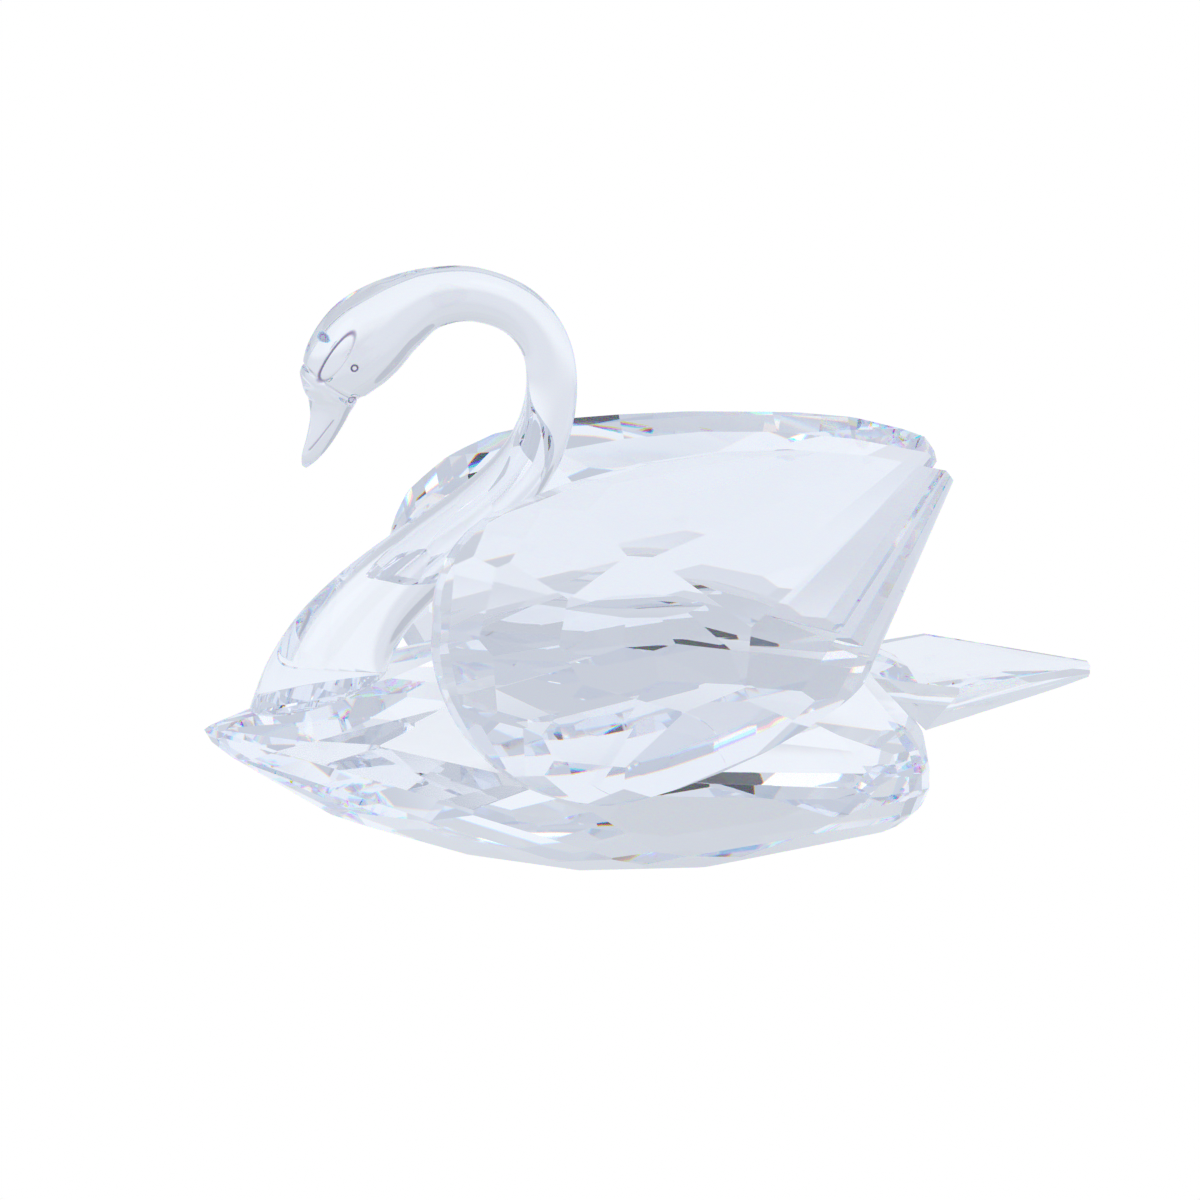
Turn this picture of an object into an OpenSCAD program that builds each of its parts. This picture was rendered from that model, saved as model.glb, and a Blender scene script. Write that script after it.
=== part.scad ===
// Cut-crystal swan, resting as if afloat. A faceted body carries a smooth moulded
// neck, two faceted wings and a faceted tail. Each of them is bonded with a thin
// clear film to a flat that is ground on the body.
// The swan faces -X, its left side is -Y, and it stands on the plane z = 0.

/* [Body] */
// From the middle of the swan forward to the tip of the bow
bow_x = 48; // [46:0.5:50]
// Height of the bow tip
bow_z = 14.2; // [13.4:0.2:15]
// From the middle of the swan back to the flat stern
stern_x = 28.6; // [27:0.2:29]
// Half the width of the hull just above its flat bottom
hull_half_w = 16.4; // [16.2:0.1:17]
// Half the width of the upper body, where the wings are bonded
waist_half_w = 12.8; // [12.6:0.1:13.4]
// Height of the top of the body, hidden between the wings
back_z = 25.4; // [24:0.2:27]
// Slope of the front deck that carries the neck
deck_slope = 15.5; // [14:0.5:17]
// Slope of the stern deck that carries the tail
seat_slope = 50; // [46:1:54]

/* [Neck] */
// Radius of each eye bead
eye_r = 0.5; // [0.4:0.05:0.7]
// How far each eye bead stands out from the middle plane
eye_y = 4.25; // [4.15:0.05:4.35]

/* [Wings] */
// Distance from the middle plane to a wing's inner face at z = 0
wing_foot_y = 17.2; // [17.1:0.1:17.3]
// Lean of the wings towards each other at the top
wing_lean = 17.5; // [17:0.25:18]
// Turn of the wings towards each other at the rear
wing_toe = 4; // [3:0.25:4.5]
// Thickness of a wing at its crown
wing_t = 9; // [7.5:0.25:10]
// Thickness of a wing at its edge
wing_edge_t = 2.2; // [1.6:0.1:2.6]

/* [Tail] */
// From the middle of the swan back to the tip of the tail
tail_x = 48; // [46:0.5:50]
// Half the width of the tail at its widest
tail_half_w = 8.6; // [7.5:0.1:9.5]
// Height of the tail's top facet where it is widest
tail_z = 16.2; // [15.8:0.1:16.8]

/* [Bonds] */
// Thickness of the clear bond films
bond_t = 0.15; // [0.1:0.05:0.25]

/* [Hidden] */
block = 240;        // side of the blocks that stand for half of space
glass = "aliceblue";
film = "lightcyan";

// ---- facets -------------------------------------------------------------

// Unit vector at an azimuth about z and a tilt above the horizontal
function dir(az, tilt) = [cos(az) * cos(tilt), sin(az) * cos(tilt), sin(tilt)];

// How far along a unit vector n an ellipsoid [centre, radii] reaches
function reach(form, n) = form[0] * n + norm([for (i = [0:2]) form[1][i] * n[i]]);

// How far the smooth shape around several ellipsoids reaches
function touch(forms, n) = max([for (f = forms) reach(f, n)]);

// A facet [normal, distance] that just touches the forms, ground deeper by inset
function tangent(forms, n, inset = 0) = [n, touch(forms, n) - inset];

// A facet through a point
function through(p, n) = [n, p * n];

// A facet through three points, with the point inside behind it
function plane(a, b, c, inside) =
    let (m = cross(b - a, c - a), n = m / norm(m), side = n * (inside - a) > 0 ? -1 : 1)
    [side * n, side * n * a];

// One facet and its mirror image on the other side of the middle plane
function both(f) = [f, [[f[0].x, -f[0].y, f[0].z], f[1]]];
function paired(fs) = [for (f = fs) each both(f)];

// The half of space behind a facet, moved outwards by out
module behind(f, out = 0)
    rotate([0, -asin(f[0].z), atan2(f[0].y, f[0].x)])
        translate([f[1] + out - block, -block / 2, -block / 2])
            cube(block);

// The half of space in front of a facet, moved outwards by out
module before(f, out = 0)
    rotate([0, -asin(f[0].z), atan2(f[0].y, f[0].x)])
        translate([f[1] + out, -block / 2, -block / 2])
            cube(block);

// A stone with flat facets all round
module stone(facets)
    intersection_for (f = facets)
        behind(f);

// ---- body ---------------------------------------------------------------

// Smooth shapes that the body's facets touch: hull, back, bow tip, two along the bow,
// a quarter on each side of the stern, and the rump
body_forms = [
    [[0.5, 0, 3.2], [25.5, hull_half_w, 5.6]],
    [[-2, 0, 13.8], [18, waist_half_w, back_z - 13.8]],
    [[2.4 - bow_x, 0, bow_z], [2.4, 1.2, 1.1]],
    [[-25, 0, 9.2], [13, 10.7, 6.8]],
    [[-32, 0, 13], [9, 7.4, 4.6]],
    [[21, 7.2, 6.6], [8.4, 5.8, 6.6]],
    [[21, -7.2, 6.6], [8.4, 5.8, 6.6]],
    [[15, 0, 12], [11, 9, 8.4]],
];

deck_facet = tangent(body_forms, dir(180, 90 - deck_slope), 0);
seat_facet = through([stern_x, 0, 10.6], dir(0, 90 - seat_slope));

// The flat that carries the left wing, one film's thickness inside the wing's plane
wing_plane = through([0, -wing_foot_y, 0], dir(wing_toe - 90, wing_lean));
flank_facet = wing_plane - [[0, 0, 0], bond_t];

// Tiers of facets on each side: [tilt, first azimuth, last azimuth, facets]
body_tiers = [
    [-68, 20, 150, 6],
    [-46, 10, 136, 9],
    [-24, 22, 120, 9],
    [0, 28, 113, 7],
    [22, 20, 122, 8],
    [44, 28, 134, 7],
    [66, 42, 140, 5],
];

// The facets of a tier: evenly turned, each just touching the smooth shape
function tier(forms, t, inset) =
    [for (i = [0:t[3] - 1]) tangent(forms, dir(t[1] + (t[2] - t[1]) * i / (t[3] - 1), t[0]), inset)];

body_facets = concat(
    [[[0, 0, -1], 0], [[1, 0, 0], stern_x], deck_facet, seat_facet],
    [tangent(body_forms, dir(0, 68), 0.2), tangent(body_forms, dir(0, 88), 0.4)],
    [tangent(body_forms, dir(180, -30), 0.1), tangent(body_forms, dir(180, -56), 0.1)],
    paired([for (t = body_tiers) each tier(body_forms, t, 0.1)])
);

module body()
    color(glass)
        stone(concat(body_facets, both(flank_facet)));

// ---- neck ---------------------------------------------------------------

// Rings along the neck, head and bill: [x, z, half depth, half width]
neck_rings = [
    [-36, 10.6, 8.6, 6.4], [-35.6, 15.2, 7.6, 5.8], [-34.9, 19.2, 6.6, 5.3],
    [-33, 23.4, 5.6, 4.9], [-29.4, 27.8, 4.7, 4.3], [-24, 32.4, 4, 3.8],
    [-18.4, 36.6, 3.5, 3.5], [-13.9, 40.9, 3.2, 3.2], [-11.3, 45.6, 2.9, 2.9],
    [-10.4, 50.6, 2.7, 2.7], [-11.2, 55.4, 2.6, 2.6], [-14.2, 59.3, 2.7, 2.6],
    [-19, 61.4, 2.9, 2.8], [-23.5, 61.3, 3.3, 3.1], [-27.1, 59.8, 4.2, 3.6],
    [-30.2, 57.6, 4.9, 4.1], [-32.6, 55, 4.6, 4.1], [-33.9, 52.6, 3.7, 3.5],
    [-34.3, 50.5, 2.5, 2.5], [-34.8, 48.4, 1.8, 2], [-35.7, 46.2, 1.3, 1.6],
    [-36.7, 44.4, 0.8, 1.1], [-37.2, 43.4, 0.3, 0.4],
];
eye_x = -32.6;      // middle of the eye beads, along the swan
eye_z = 55.5;       // and their height
ring_sides = 20;
ring_steps = 2;     // rings drawn for each step of the list

// Catmull-Rom curve through a list at position u
function at(list, i) = list[max(0, min(len(list) - 1, i))];
function along(list, u) =
    let (i = min(floor(u), len(list) - 2), t = u - i,
        a = at(list, i - 1), b = at(list, i), c = at(list, i + 1), d = at(list, i + 2))
    b + t / 2 * (c - a) + t * t / 2 * (2 * a - 5 * b + 4 * c - d)
        + t * t * t / 2 * (3 * b - a - 3 * c + d);

ring_count = (len(neck_rings) - 1) * ring_steps + 1;

// The rings as points: each is an ellipse across the curve's own direction
function neck_ring(k) =
    let (u = k / ring_steps, r = along(neck_rings, u),
        v = along(neck_rings, min(u + 0.05, len(neck_rings) - 1))
            - along(neck_rings, max(u - 0.05, 0)),
        h = [v[0], v[1]] / norm([v[0], v[1]]))
    [for (j = [0:ring_sides - 1])
        let (a = 360 * j / ring_sides)
        [r[0] - h[1] * r[2] * cos(a), r[3] * sin(a), r[1] + h[0] * r[2] * cos(a)]];

module neck_form() {
    points = [for (k = [0:ring_count - 1]) each neck_ring(k)];
    sides = [for (k = [0:ring_count - 2], j = [0:ring_sides - 1])
        let (p = k * ring_sides, q = p + ring_sides, m = (j + 1) % ring_sides)
        each [[p + j, p + m, q + m], [p + j, q + m, q + j]]];
    foot = [for (j = [0:ring_sides - 1]) ring_sides - 1 - j];
    tip = [for (j = [0:ring_sides - 1]) (ring_count - 1) * ring_sides + j];
    polyhedron(points, concat(sides, [foot, tip]));
}

module neck()
    color(glass) {
        intersection() {
            neck_form();
            before(deck_facet, bond_t);
        }
        for (side = [-1, 1])
            translate([eye_x, side * (eye_y - eye_r), eye_z])
                sphere(eye_r, $fn = 32);
    }

// ---- wings --------------------------------------------------------------

// Points on an arc, and points on a chord that bows outwards by rise
function arc(c, r, from, to, steps) =
    [for (i = [0:steps]) let (a = from + (to - from) * i / steps) c + r * [cos(a), sin(a)]];
function bowed(a, b, rise, steps) =
    let (out = [b.y - a.y, a.x - b.x] / norm(b - a))
    [for (i = [1:steps - 1]) let (t = i / steps) a + t * (b - a) + 4 * rise * t * (1 - t) * out];

// Outline of a wing in its own plane: x backwards, y up
wing_breast = arc([-7, 27.2], 18.3, 180, 275, 20);
wing_heel = [23.1, 20];
wing_tip = [33, 39.5];
wing_tip_top = [32, 40.7];
wing_brow = arc([-13.2, 29.8], 11.7, 110, 180, 8);
wing_outline = concat(
    wing_breast,
    bowed(wing_breast[len(wing_breast) - 1], wing_heel, 1.8, 6),
    [wing_heel], bowed(wing_heel, wing_tip, 0.3, 3), [wing_tip],
    [wing_tip_top], bowed(wing_tip_top, wing_brow[0], 4.2, 6),
    wing_brow
);

// The smooth shape that the facets of a wing touch: its breast, then nearer the tail
wing_forms = [
    [[-7, 27.2, 0], [19.8, 19.9, wing_t]],
    [[8, 29.4, 0], [17, 17.6, wing_t - 1.5]],
];

// The rear tip, where the long facets meet, and the wing's long axis forwards from it
wing_apex = [36.8, 46.2, wing_edge_t - 0.4];
wing_axis_turn = 200;
wing_ahead = [cos(wing_axis_turn), sin(wing_axis_turn), 0];
wing_above = [sin(wing_axis_turn), -cos(wing_axis_turn), 0];

// How fast a facet through the apex that faces m rises forwards when it touches a form
function rise(form, m) =
    let (d = wing_apex - form[0],
        mr = [for (i = [0:2]) form[1][i] * m[i]],
        ar = [for (i = [0:2]) form[1][i] * wing_ahead[i]],
        a = (wing_ahead * d) ^ 2 - ar * ar,
        b = (m * d) * (wing_ahead * d) - mr * ar,
        c = (m * d) ^ 2 - mr * mr)
    (b + sqrt(b * b - a * c)) / a;

// A long facet through the apex, rolled from facing outwards (0) to facing up (90)
function feather(roll) =
    let (m = [0, 0, cos(roll)] + sin(roll) * wing_above,
        n = m - max([for (f = wing_forms) rise(f, m)]) * wing_ahead)
    through(wing_apex, n / norm(n));

feather_rolls = [-80, -68, -56, -44, -32, -20, -8, 6, 20, 38];
// Tiers of facets round the breast of a wing: [tilt, first azimuth, last azimuth, facets]
wing_tiers = [
    [13, 86, 300, 12],
    [27, 96, 306, 12],
    [42, 86, 296, 9],
    [57, 100, 286, 7],
    [73, 120, 250, 4],
];
wing_facets = concat(
    [[[0, 0, -1], 0], tangent(wing_forms, dir(0, 90), 0.15)],
    [for (r = feather_rolls) feather(r)],
    [for (t = wing_tiers) each tier(wing_forms, t, 0.1)]
);

// Puts a wing that lies on its inner face onto the left flank of the body
module on_left_flank()
    translate([0, -wing_foot_y, 0])
        rotate([0, 0, wing_toe])
            rotate([90 - wing_lean, 0, 0])
                children();

module wing()
    on_left_flank()
        intersection() {
            linear_extrude(wing_t + 1)
                polygon(wing_outline);
            stone(wing_facets);
        }

module left_wing()
    color(glass)
        wing();

module right_wing()
    color(glass)
        mirror([0, 1, 0])
            wing();

// ---- tail ---------------------------------------------------------------

// Corners of the tail on the +Y side, and along its middle
tail_wing = [32, tail_half_w, tail_z];
tail_under_wing = tail_wing - [0, 0, 0.7];
tail_ridge_end = [43.5, 0, tail_z - 0.8];
tail_tip = [tail_x, 0.8, tail_z - 1.5];
tail_under_tip = [tail_x, 0.8, tail_z - 2.4];
tail_keel = [30, 0, 9.0];
tail_root = [24.5, 5.6, tail_z];
tail_under_root = tail_root - [0, 0, 1];
tail_heart = [32, 0, tail_z - 3];
tail_facets = concat(
    [through([tail_wing.x, 0, tail_z], dir(0, 86.5)), [[1, 0, 0], tail_x]],
    [through(tail_keel, dir(0, -78))],
    paired([
        plane(tail_wing, tail_tip, tail_ridge_end, tail_heart),
        plane(tail_under_wing, tail_keel + [0, 1.5, 0], tail_under_tip, tail_heart),
        plane(tail_wing, tail_under_tip, tail_tip, tail_heart),
        plane(tail_under_wing, tail_under_root, tail_keel + [0, 2, 0.5], tail_heart),
        plane(tail_wing, tail_root, tail_under_root - [0.2, 0.2, 1], tail_heart),
    ])
);

module tail_form()
    stone(tail_facets);

module tail()
    color(glass)
        intersection() {
            tail_form();
            before(seat_facet, bond_t);
        }

// ---- bond films ---------------------------------------------------------

// The film in front of a facet, inside whatever children cover
module film_on(f)
    intersection() {
        children();
        before(f);
        behind(f, bond_t);
    }

module neck_bond()
    color(film)
        film_on(deck_facet)
            neck_form();

module tail_bond()
    color(film)
        film_on(seat_facet)
            tail_form();

// The drop of film under a wing, pressed out to an oval: its outline in the wing's plane
film_centre = [-2.8, 13.8];
film_half_length = 8.2;
film_half_height = 4.6;
film_droop = 1.8;   // how much lower its rear end lies than its middle
film_outline = [for (a = [0:12:348])
    film_centre + [film_half_length * cos(a), film_half_height * sin(a) - film_droop * cos(a)]];

module wing_bond()
    film_on(flank_facet)
        intersection() {
            stone(body_facets);
            on_left_flank()
                translate([0, 0, -1])
                    linear_extrude(2)
                        intersection() {
                            polygon(wing_outline);
                            polygon(film_outline);
                        }
        }

module left_wing_bond()
    color(film)
        wing_bond();

module right_wing_bond()
    color(film)
        mirror([0, 1, 0])
            wing_bond();

body();
neck();
left_wing();
right_wing();
tail();
neck_bond();
left_wing_bond();
right_wing_bond();
tail_bond();
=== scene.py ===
"""Looks of a cut-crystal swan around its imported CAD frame, in metres. The lists for the neck are in mm."""

import math

import bmesh
import bpy
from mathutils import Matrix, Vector


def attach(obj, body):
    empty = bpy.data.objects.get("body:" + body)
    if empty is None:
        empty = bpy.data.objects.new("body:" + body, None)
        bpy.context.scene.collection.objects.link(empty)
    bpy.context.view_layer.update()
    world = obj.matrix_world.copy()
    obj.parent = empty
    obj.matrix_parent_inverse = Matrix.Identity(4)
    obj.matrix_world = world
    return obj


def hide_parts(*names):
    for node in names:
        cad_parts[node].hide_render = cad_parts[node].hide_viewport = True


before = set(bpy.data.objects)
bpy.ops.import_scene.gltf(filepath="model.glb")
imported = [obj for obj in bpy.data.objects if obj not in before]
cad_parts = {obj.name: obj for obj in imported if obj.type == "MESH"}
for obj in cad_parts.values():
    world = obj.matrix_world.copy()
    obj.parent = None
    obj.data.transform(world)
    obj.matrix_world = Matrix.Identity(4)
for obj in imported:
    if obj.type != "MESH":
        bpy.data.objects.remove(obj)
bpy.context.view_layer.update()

MM = 0.001
NEAR = 2e-6         # two points this close are taken as one
FLAT = math.radians(0.1)        # facets that meet at less than this are one
FACING = 0.9999     # faces meet at a bond when the dot product of their normals is under minus this

# ---- shader helpers ---------------------------------------------------------


def new_material(name):
    """A material with an empty node tree, and its tree and output node."""
    material = bpy.data.materials.new(name)
    material.use_nodes = True
    tree = material.node_tree
    tree.nodes.clear()
    return material, tree, tree.nodes.new("ShaderNodeOutputMaterial")


def add(tree, kind, settings=None, **inputs):
    """Adds a node, sets its properties, and sets or links its inputs by name or number."""
    node = tree.nodes.new(kind)
    for key, value in (settings or {}).items():
        setattr(node, key, value)
    for key, value in inputs.items():
        socket = node.inputs[int(key[1:]) if key.startswith("_") else key.replace("_", " ")]
        if isinstance(value, bpy.types.NodeSocket):
            tree.links.new(value, socket)
        else:
            socket.default_value = value
    return node


def math_node(tree, operation, a, b=0.0):
    return add(tree, "ShaderNodeMath", {"operation": operation}, _0=a, _1=b).outputs[0]


def smooth_step(tree, value, low, high):
    """0 where value is under low, 1 over high, and smooth between."""
    node = add(tree, "ShaderNodeMapRange", {"interpolation_type": "SMOOTHSTEP"}, Value=value)
    node.inputs["From Min"].default_value = low
    node.inputs["From Max"].default_value = high
    return node.outputs["Result"]


def blend(tree, factor, low, high):
    """A colour from low to high, each a colour or a socket."""
    node = add(tree, "ShaderNodeMix", {"data_type": "RGBA"})
    tree.links.new(factor, node.inputs["Factor"])
    for name, value in (("A", low), ("B", high)):
        if isinstance(value, bpy.types.NodeSocket):
            tree.links.new(value, node.inputs[name])
        else:
            node.inputs[name].default_value = (*value, 1)
    return node.outputs["Result"]


# ---- materials --------------------------------------------------------------

CRYSTAL_IOR = 1.545
FIRE = 0.012        # how much more blue bends than green, and green than red
CLEAR = (0.985, 0.988, 0.996)
# Painted shade: a darker, rougher glass mixed into the head's creases
CREASE_SHADE_COLOUR = (0.16, 0.18, 0.24)
CREASE_SHADE_RANGE = (0.1, 0.9)       # the painted-shade values between which a crease turns dark
CREASE_ROUGHNESS = 0.05
RIPPLE = 1.0        # the ripple's height, as a share of RIPPLE_DEPTH
RIPPLE_DEPTH = 0.02 * MM
HAIRLINE = 0.02     # the hairlines' height, as the same share
HAIRLINE_SIZE = 0.25 * MM
POLISH = 0.12       # strength of both
CUT_RIPPLE_SIZE = 4 * MM
MOULDED_RIPPLE_SIZE = 6 * MM
FILM_CLOUD_SIZE = 3 * MM
FILM_TINTS = ((0.975, 0.98, 0.99), (0.99, 0.992, 0.996))


def polish_bump(tree, ripple_size):
    """Normals of polished glass: a slow ripple left by the lap or the mould, and fine hairline marks."""
    place = add(tree, "ShaderNodeTexCoord").outputs["Object"]
    slow = add(tree, "ShaderNodeTexNoise", Vector=place, Scale=1 / ripple_size, Detail=1.0)
    fine = add(tree, "ShaderNodeTexNoise", Vector=place, Scale=1 / HAIRLINE_SIZE, Detail=2.0)
    height = math_node(tree, "MULTIPLY", slow.outputs["Fac"], RIPPLE)
    height = math_node(tree, "ADD", height, math_node(tree, "MULTIPLY", fine.outputs["Fac"], HAIRLINE))
    bumps = add(tree, "ShaderNodeBump", Height=height, Strength=POLISH, Distance=RIPPLE_DEPTH)
    return bumps.outputs["Normal"]


def glass(tree, colour, ior, normal, roughness=0.0):
    settings = {"distribution": "GGX"}
    looks = {"Color": (*colour, 1), "Roughness": roughness, "IOR": ior, "Normal": normal}
    node = add(tree, "ShaderNodeBsdfGlass", settings, **looks)
    return node.outputs["BSDF"]


def mix_shaders(tree, factor, low, high):
    return add(tree, "ShaderNodeMixShader", _0=factor, _1=low, _2=high).outputs[0]


def glass_band(tree, tint, band, normal):
    """Glass for 0 red, 1 green or 2 blue alone. It is a third of the mix, so its colour is threefold."""
    colour = [3 * tint[i] if i == band else 0 for i in range(3)]
    return glass(tree, colour, CRYSTAL_IOR + FIRE * (band - 1), normal)


def crystal(name, tint, ripple_size, shade_creases=False):
    """Clear crystal. Seen from outside, its colours bend a little differently, which gives the fire.

    Where it is creased, and again seen from outside, darker glass is mixed in: painted shade for the light
    that the crease's steep walls turn aside.
    """
    material, tree, out = new_material(name)
    normal = polish_bump(tree, ripple_size)
    # Green comes first, because the exporter takes its IOR from the first glass it meets
    green, red, blue = (glass_band(tree, tint, band, normal) for band in (1, 0, 2))
    fiery = mix_shaders(tree, 1 / 3, mix_shaders(tree, 1 / 2, green, red), blue)
    plain = glass(tree, tint, CRYSTAL_IOR, normal)
    from_outside = add(tree, "ShaderNodeLightPath").outputs["Is Camera Ray"]
    surface = mix_shaders(tree, math_node(tree, "SUBTRACT", 1.0, from_outside), fiery, plain)
    if shade_creases:
        # How much painted shade this point of a crease gets
        depth = add(tree, "ShaderNodeAttribute", {"attribute_name": "painted_crease_shade"}).outputs["Fac"]
        shade = math_node(tree, "MULTIPLY", smooth_step(tree, depth, *CREASE_SHADE_RANGE), from_outside)
        # The darker glass of the painted crease shade
        painted_shade_glass = glass(tree, CREASE_SHADE_COLOUR, CRYSTAL_IOR, normal, CREASE_ROUGHNESS)
        surface = mix_shaders(tree, shade, surface, painted_shade_glass)
    tree.links.new(surface, out.inputs["Surface"])
    return material


def bonded_face(name):
    """Where crystal meets the cured film, light goes straight on, a touch dimmed."""
    material, tree, out = new_material(name)
    place = add(tree, "ShaderNodeTexCoord").outputs["Object"]
    cloud = add(tree, "ShaderNodeTexNoise", Vector=place, Scale=1 / FILM_CLOUD_SIZE, Detail=2.0)
    tint = blend(tree, cloud.outputs["Fac"], *FILM_TINTS)
    clear = add(tree, "ShaderNodeBsdfTransparent", Color=tint)
    tree.links.new(clear.outputs[0], out.inputs["Surface"])
    return material


CUT = crystal("cut_crystal", CLEAR, CUT_RIPPLE_SIZE)
MOULDED = crystal("moulded_crystal", CLEAR, MOULDED_RIPPLE_SIZE, shade_creases=True)
BONDED = bonded_face("bonded_face")

# ---- pieces from the CAD's facets -------------------------------------------


def facets_of(node):
    """A CAD node's facets, each one flat polygon."""
    bm = bmesh.new()
    bm.from_mesh(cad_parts[node].data)
    bmesh.ops.remove_doubles(bm, verts=bm.verts, dist=NEAR)
    bmesh.ops.dissolve_limit(bm, angle_limit=FLAT, verts=bm.verts, edges=bm.edges)
    return bm


def film_faces(film):
    """The two wide faces of a film: [(normal out of the film, corners in order)]."""
    bm = facets_of(film)
    wide = sorted(bm.faces, key=lambda f: -f.calc_area())[:2]
    found = [(f.normal.copy(), [v.co.copy() for v in f.verts]) for f in wide]
    bm.free()
    return found


def imprint(bm, normal, corners):
    """Marks the part of a flat face that a film's face covers, by cutting it along the film's outline."""
    for face in list(bm.faces):
        if face.normal.dot(normal) > -FACING or abs(normal.dot(face.verts[0].co - corners[0])) > NEAR:
            continue
        for a, b in zip(corners, corners[1:] + corners[:1]):
            out = (b - a).cross(normal).normalized()
            cut = bmesh.ops.bisect_plane(
                bm, geom=[face, *face.edges, *face.verts], dist=NEAR / 4, plane_co=a, plane_no=out
            )
            parts = [g for g in cut["geom"] if isinstance(g, bmesh.types.BMFace)]
            inside = [f for f in parts if out.dot(f.calc_center_median() - a) < 0]
            if not inside:
                break
            face = inside[0]
        else:
            face.material_index = 1


def make_piece(bm, name, node, materials, smooth=False):
    """Ends a piece: its object, its finish, the CAD node it stands for and the body it rides on."""
    mesh = bpy.data.meshes.new(name)
    bm.to_mesh(mesh)
    bm.free()
    for polygon in mesh.polygons:
        polygon.use_smooth = smooth and polygon.material_index == 0
    for material in materials:
        mesh.materials.append(material)
    piece = bpy.data.objects.new(name, mesh)
    bpy.context.scene.collection.objects.link(piece)
    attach(piece, "root")
    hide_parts(node)
    return piece


def cut_stone(node, films):
    """A faceted stone with the outlines of its bonds on its flats."""
    bm = facets_of(node)
    for film in films:
        for normal, corners in film_faces(film):
            imprint(bm, normal, corners)
    return make_piece(bm, f"{node}_stone", node, [CUT, BONDED])


def film(node):
    """A bond: clear across, with a bright rim."""
    bm = facets_of(node)
    for face in sorted(bm.faces, key=lambda f: -f.calc_area())[:2]:
        face.material_index = 1
    return make_piece(bm, f"{node}_film", node, [CUT, BONDED])


cut_stone("body", ["neck_bond", "left_wing_bond", "right_wing_bond", "tail_bond"])
cut_stone("left_wing", ["left_wing_bond"])
cut_stone("right_wing", ["right_wing_bond"])
cut_stone("tail", ["tail_bond"])
for bond in ("neck_bond", "left_wing_bond", "right_wing_bond", "tail_bond"):
    film(bond)

# ---- neck -------------------------------------------------------------------

# The same rings as the CAD neck: [x, z, half depth, half width]
NECK_RINGS = [
    (-36, 10.6, 8.6, 6.4), (-35.6, 15.2, 7.6, 5.8), (-34.9, 19.2, 6.6, 5.3),
    (-33, 23.4, 5.6, 4.9), (-29.4, 27.8, 4.7, 4.3), (-24, 32.4, 4, 3.8),
    (-18.4, 36.6, 3.5, 3.5), (-13.9, 40.9, 3.2, 3.2), (-11.3, 45.6, 2.9, 2.9),
    (-10.4, 50.6, 2.7, 2.7), (-11.2, 55.4, 2.6, 2.6), (-14.2, 59.3, 2.7, 2.6),
    (-19, 61.4, 2.9, 2.8), (-23.5, 61.3, 3.3, 3.1), (-27.1, 59.8, 4.2, 3.6),
    (-30.2, 57.6, 4.9, 4.1), (-32.6, 55, 4.6, 4.1), (-33.9, 52.6, 3.7, 3.5),
    (-34.3, 50.5, 2.5, 2.5), (-34.8, 48.4, 1.8, 2), (-35.7, 46.2, 1.3, 1.6),
    (-36.7, 44.4, 0.8, 1.1), (-37.2, 43.4, 0.3, 0.4),
]
RING_SIDES = 240
NECK_STEPS = 8      # rings drawn for each step of the list
HEAD_STEPS = 36     # and on the marked part of the head
HEAD_FROM, HEAD_TO = 14, 21

# Marks pressed into both sides of the head, at [x, z] in mm
EYE = (-32.6, 55.5)
EYE_R = 0.34
CHEEK_LINE = ((-36.1, 53.9), (-32.6, 59.2))     # the ends of a slender closed loop ahead of the eye
CHEEK_HALF_W = 0.8
BILL_ROOT = ((-37, 54.6), (-31.2, 50.6))        # where the bill leaves the forehead and the throat
MOUTH = ((-34.4, 49.2), (-37, 45.4))
THROAT_CURL = (-32.5, 51.4)
MIDDLE = 0.5        # this near the middle of the head, only the bill's root is marked
# How deep or high each mark is, and how wide its line, in mm
PRESSED = 0.2           # depth of the root's crease, the eye's ring and the cheek's loop
ROOT_W = 0.2
ROOT_FADE = 0.1         # how soon it fades past its ends, as a share of its length
KNOB_BELOW, KNOB_W, KNOB_RISE = 0.95, 0.6, 0.22
KNOB_AT, KNOB_SPAN = 0.02, 0.16         # along the root's line, as shares of its length
EYE_W = 0.11
DOME_W, DOME_RISE = 0.6 * EYE_R, 0.2
CHEEK_W = 0.1
MOUTH_W, MOUTH_DEPTH, MOUTH_FADE = 0.12, 0.12, 0.25
MOUTH_HALF = 0.45       # the part of it either side of its middle that is full depth
CURL_R, CURL_W, CURL_DEPTH = 0.4, 0.12, 0.14
CURL_DOT_W, CURL_DOT_RISE = 0.2, 0.12
CURL_LIP_R, CURL_LIP_W, CURL_LIP_RISE = 0.7, 0.11, 0.1
# How much painted shade each crease gets, 1 the darkest
ROOT_SHADE, MOUTH_SHADE, CURL_SHADE = 0.3, 0.5, 0.7
CHEEK_SHADE, CHEEK_SHADE_AHEAD = 0.6, 0.25
TANGENT_STEP = 0.05     # how far along the list the curve's direction is taken over


def along(u):
    """The ring at position u of the list, on a Catmull-Rom curve."""
    last = len(NECK_RINGS) - 1
    i = min(int(u), last - 1)
    t = u - i
    a, b, c, d = (NECK_RINGS[max(0, min(last, i + k))] for k in (-1, 0, 1, 2))
    return [
        q + t / 2 * (r - p) + t * t / 2 * (2 * p - 5 * q + 4 * r - s) + t ** 3 / 2 * (3 * q - p - 3 * r + s)
        for p, q, r, s in zip(a, b, c, d)
    ]


def bump(distance, width):
    """1 at no distance, falling off smoothly over a width."""
    return math.exp(-((distance / width) ** 2))


def beside(x, z, line):
    """How far a point is along a line, from its first end (0) to its last (1), and how far off it in mm."""
    (ax, az), (bx, bz) = line
    length = math.hypot(bx - ax, bz - az)
    wx, wz = (bx - ax) / length, (bz - az) / length
    return ((x - ax) * wx + (z - az) * wz) / length, (z - az) * wx - (x - ax) * wz


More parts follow.
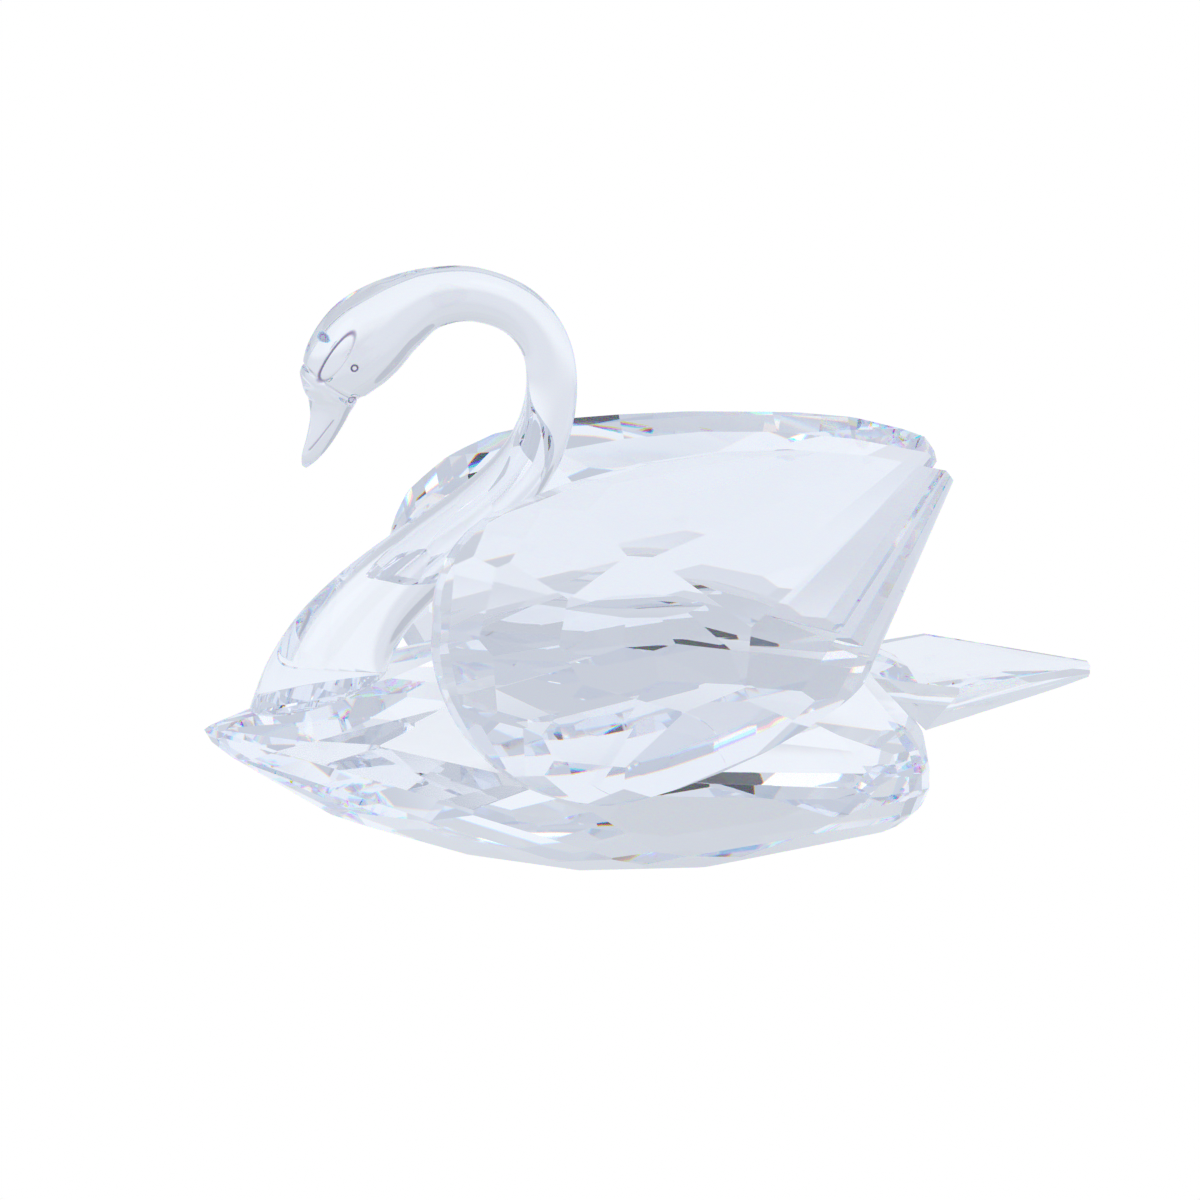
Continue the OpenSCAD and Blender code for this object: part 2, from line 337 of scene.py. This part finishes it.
def relief(x, y, z):
    """How far the marks raise (or sink) the head's surface at a point, in mm, and how much painted shade a
    crease gets.
    """
    t, off = beside(x, z, BILL_ROOT)
    # The crease where the bill begins, all round, and the knob on top of the bill just below it
    root = bump(off, ROOT_W) * bump(max(abs(t - 0.5) - 0.5, 0), ROOT_FADE)
    knob = bump(off + KNOB_BELOW, KNOB_W) * bump(t - KNOB_AT, KNOB_SPAN)
    rise = KNOB_RISE * knob - PRESSED * root
    if abs(y) < MIDDLE:
        return rise, ROOT_SHADE * root
    r = math.hypot(x - EYE[0], z - EYE[1])
    eye = bump(r - EYE_R, EYE_W)
    t, ahead = beside(x, z, CHEEK_LINE)
    off_loop = (math.hypot((t - 0.5) * 2, ahead / CHEEK_HALF_W) - 1) * CHEEK_HALF_W
    loop = bump(off_loop, CHEEK_W)
    loop_shade = CHEEK_SHADE + CHEEK_SHADE_AHEAD * ahead / CHEEK_HALF_W
    t, off = beside(x, z, MOUTH)
    past_end = max(abs(t - 0.5) - MOUTH_HALF, 0) * math.dist(*MOUTH)
    mouth = bump(off, MOUTH_W) * bump(past_end, MOUTH_FADE)
    r_curl = math.hypot(x - THROAT_CURL[0], z - THROAT_CURL[1])
    curl = bump(r_curl - CURL_R, CURL_W)
    rise += DOME_RISE * bump(r, DOME_W) - PRESSED * eye - PRESSED * loop - MOUTH_DEPTH * mouth
    rise += CURL_DOT_RISE * bump(r_curl, CURL_DOT_W) - CURL_DEPTH * curl
    rise += CURL_LIP_RISE * bump(r_curl - CURL_LIP_R, CURL_LIP_W)
    return rise, max(ROOT_SHADE * root, eye, loop_shade * loop, MOUTH_SHADE * mouth, CURL_SHADE * curl)


def neck_ring(u):
    """The points of one ring, an ellipse across the curve's own direction, each with its painted crease
    shade.
    """
    last = len(NECK_RINGS) - 1
    x, z, depth, width = along(u)
    ahead = along(min(u + TANGENT_STEP, last))
    behind = along(max(u - TANGENT_STEP, 0))
    way = Vector((ahead[0] - behind[0], ahead[1] - behind[1])).normalized()
    ring = []
    for j in range(RING_SIDES):
        a = math.tau * j / RING_SIDES
        across = Vector((-way.y * math.cos(a), 0, way.x * math.cos(a)))
        sideways = Vector((0, math.sin(a), 0))
        point = Vector((x, 0, z)) + across * depth + sideways * width
        crease_shade = 0.0
        if u > HEAD_FROM:
            out = (across * width + sideways * depth).normalized()
            rise, crease_shade = relief(*point)
            point += out * rise
        ring.append((point * MM, crease_shade))
    return ring


def make_neck():
    """The smooth neck, head and bill, ground flat where it stands on its bond."""
    bm = bmesh.new()
    places = [k / NECK_STEPS for k in range(HEAD_FROM * NECK_STEPS)]
    places += [HEAD_FROM + k / HEAD_STEPS for k in range((HEAD_TO - HEAD_FROM) * HEAD_STEPS)]
    places += [HEAD_TO + k / NECK_STEPS for k in range((len(NECK_RINGS) - 1 - HEAD_TO) * NECK_STEPS + 1)]
    # Each point's painted crease shade, read by the moulded crystal
    layer = bm.verts.layers.float.new("painted_crease_shade")
    rings = []
    for u in places:
        ring = []
        for point, crease_shade in neck_ring(u):
            vertex = bm.verts.new(point)
            vertex[layer] = crease_shade
            ring.append(vertex)
        rings.append(ring)
    for low, high in zip(rings, rings[1:]):
        for j in range(RING_SIDES):
            k = (j + 1) % RING_SIDES
            bm.faces.new((low[j], low[k], high[k], high[j]))
    bm.faces.new(rings[0][::-1])
    bm.faces.new(rings[-1])
    (normal, corners), = [f for f in film_faces("neck_bond") if f[0].z > 0]
    cut = bmesh.ops.bisect_plane(
        bm, geom=[*bm.verts, *bm.edges, *bm.faces], plane_co=corners[0], plane_no=normal, clear_inner=True
    )
    rim = [g for g in cut["geom_cut"] if isinstance(g, bmesh.types.BMEdge)]
    for face in bmesh.ops.contextual_create(bm, geom=rim)["faces"]:
        face.material_index = 1
    bmesh.ops.recalc_face_normals(bm, faces=bm.faces)
    return make_piece(bm, "neck_head_and_bill", "neck", [MOULDED, BONDED], smooth=True)


make_neck()

# ---- floor, light and camera ------------------------------------------------

WHITE = (1.0, 1.0, 1.0)


def shown_white(tree, seen_by_glass):
    """Plain white to the camera, and the colour seen_by_glass to every other ray."""
    return blend(tree, add(tree, "ShaderNodeLightPath").outputs["Is Camera Ray"], seen_by_glass, WHITE)


# Tones painted into the glowing floor as the glass sees it: a painted pool of light round the swan, greyer
# out to the backdrop, and painted shade in front and under the hull
POOL = (0.9, 0.935, 0.99)
OUTSIDE = (0.76, 0.79, 0.86)
FAR_OFF = (0.7, 0.73, 0.8)
SHADE = (0.62, 0.65, 0.71)
POOL_EDGE = (95 * MM, 140 * MM)
FAR_EDGE = (150 * MM, 700 * MM)
FRONT_FADE = (-90 * MM, -10 * MM)       # painted shade: the floor in front is darker
HULL_SHADE = (13 * MM, 26 * MM)         # and a painted shadow darkens the floor under the hull
FLOOR_RADIUS = 1.2
FLOOR_SIDES = 96
FLOOR_DROP = 0.03 * MM                  # keeps the floor and the swan's flat underside apart


def make_floor():
    bm = bmesh.new()
    bmesh.ops.create_circle(bm, cap_ends=True, radius=FLOOR_RADIUS, segments=FLOOR_SIDES)
    mesh = bpy.data.meshes.new("floor")
    bm.to_mesh(mesh)
    bm.free()
    floor = bpy.data.objects.new("floor", mesh)
    floor.location.z = -FLOOR_DROP
    bpy.context.scene.collection.objects.link(floor)
    material, tree, out = new_material("floor")
    place = add(tree, "ShaderNodeTexCoord").outputs["Object"]
    across = add(tree, "ShaderNodeSeparateXYZ", Vector=place)
    away = add(tree, "ShaderNodeVectorMath", {"operation": "LENGTH"}, _0=place).outputs["Value"]
    # Painted pool of light round the swan, greyer further off
    tone = blend(tree, smooth_step(tree, away, *POOL_EDGE), POOL, OUTSIDE)
    tone = blend(tree, smooth_step(tree, away, *FAR_EDGE), tone, FAR_OFF)
    # Painted shade on the floor in front of the swan
    tone = blend(tree, smooth_step(tree, across.outputs["Y"], *FRONT_FADE), SHADE, tone)
    # Painted shadow on the floor under the hull
    tone = blend(tree, smooth_step(tree, away, *HULL_SHADE), SHADE, tone)
    # The floor glows with these painted tones for the glass, and plain white for the camera
    glow = add(tree, "ShaderNodeEmission", Color=shown_white(tree, tone))
    tree.links.new(glow.outputs[0], out.inputs["Surface"])
    mesh.materials.append(material)


def direction(azimuth, elevation):
    """Unit vector towards a place round the swan: azimuth 0 faces its left side, 90 its tail."""
    a, e = math.radians(azimuth), math.radians(elevation)
    return Vector((math.sin(a) * math.cos(e), -math.cos(a) * math.cos(e), math.sin(e)))


def patch(tree, way, azimuth, elevation, inner, outer):
    """1 within inner degrees of a direction, 0 beyond outer."""
    toward = add(tree, "ShaderNodeVectorMath", {"operation": "DOT_PRODUCT"}, _0=way)
    toward.inputs[1].default_value = direction(azimuth, elevation)
    edges = [math.cos(math.radians(angle)) for angle in (outer, inner)]
    return smooth_step(tree, toward.outputs["Value"], *edges)


# Patches of the studio that glass mirrors and bends: [azimuth, elevation, inner, outer, colour].
# The last is the dark side of the room, behind the photograph's camera.
STUDIO = [
    (-60, 35, 12, 14, (1.2, 1.2, 1.2)),
    (60, 50, 10, 12, (1.2, 1.2, 1.22)),
    (-150, 12, 12, 14, (0.5, 0.53, 0.6)),
    (105, 8, 12, 14, (0.45, 0.48, 0.55)),
    (-95, 20, 10, 12, (0.5, 0.53, 0.6)),
    (-12, 18, 14, 17, (0.03, 0.03, 0.04)),
]


SKY_FROM, SKY_TO = -0.2, 1.0     # heights between which the backdrop's tones run, 1 straight up
SKY = [
    (0.0, (0.7, 0.73, 0.8)),
    (0.1, (0.7, 0.73, 0.79)),
    (0.33, (0.67, 0.7, 0.75)),
    (1.0, (0.63, 0.66, 0.72)),
]


def make_world():
    world = bpy.data.worlds.new("studio")
    bpy.context.scene.world = world
    world.use_nodes = True
    tree = world.node_tree
    tree.nodes.clear()
    way = add(tree, "ShaderNodeTexCoord").outputs["Generated"]
    height = add(tree, "ShaderNodeSeparateXYZ", Vector=way).outputs["Z"]
    ramp = add(tree, "ShaderNodeValToRGB", Fac=smooth_step(tree, height, SKY_FROM, SKY_TO))
    for place, colour in SKY[1:-1]:
        ramp.color_ramp.elements.new(place)
    for element, (place, colour) in zip(ramp.color_ramp.elements, SKY):
        element.position = place
        element.color = (*colour, 1)
    tone = ramp.outputs["Color"]
    for azimuth, elevation, inner, outer, colour in STUDIO:
        tone = blend(tree, patch(tree, way, azimuth, elevation, inner, outer), tone, colour)
    background = add(tree, "ShaderNodeBackground", Color=shown_white(tree, tone))
    out = tree.nodes.new("ShaderNodeOutputWorld")
    tree.links.new(background.outputs[0], out.inputs["Surface"])


VIEW_AZIMUTH, VIEW_ELEVATION = -12, 20
VIEW_DISTANCE = 6.0
VIEW_WIDTH = 127.7 * MM         # what the picture spans at the swan
SENSOR_WIDTH = 36
CLIP_START = 0.01
BOUNCES = 32        # how often light may bend or bounce on its way through the stones
AIM_RIGHT, AIM_UP = -5.05 * MM, 23.94 * MM


def make_camera():
    back = direction(VIEW_AZIMUTH, VIEW_ELEVATION)
    right = Vector((0, 0, 1)).cross(back).normalized()
    up = back.cross(right)
    camera = bpy.data.objects.new("camera", bpy.data.cameras.new("camera"))
    camera.location = back * VIEW_DISTANCE + right * AIM_RIGHT + up * AIM_UP
    camera.rotation_mode = "QUATERNION"
    camera.rotation_quaternion = (-back).to_track_quat("-Z", "Y")
    camera.data.sensor_width = SENSOR_WIDTH
    camera.data.lens = SENSOR_WIDTH * VIEW_DISTANCE / VIEW_WIDTH
    camera.data.clip_start = CLIP_START
    bpy.context.scene.collection.objects.link(camera)
    bpy.context.scene.camera = camera


make_floor()
make_world()
make_camera()

scene = bpy.context.scene
scene.view_settings.view_transform = "Standard"
scene.cycles.max_bounces = BOUNCES
scene.cycles.transmission_bounces = BOUNCES
scene.cycles.glossy_bounces = BOUNCES
scene.cycles.transparent_max_bounces = BOUNCES
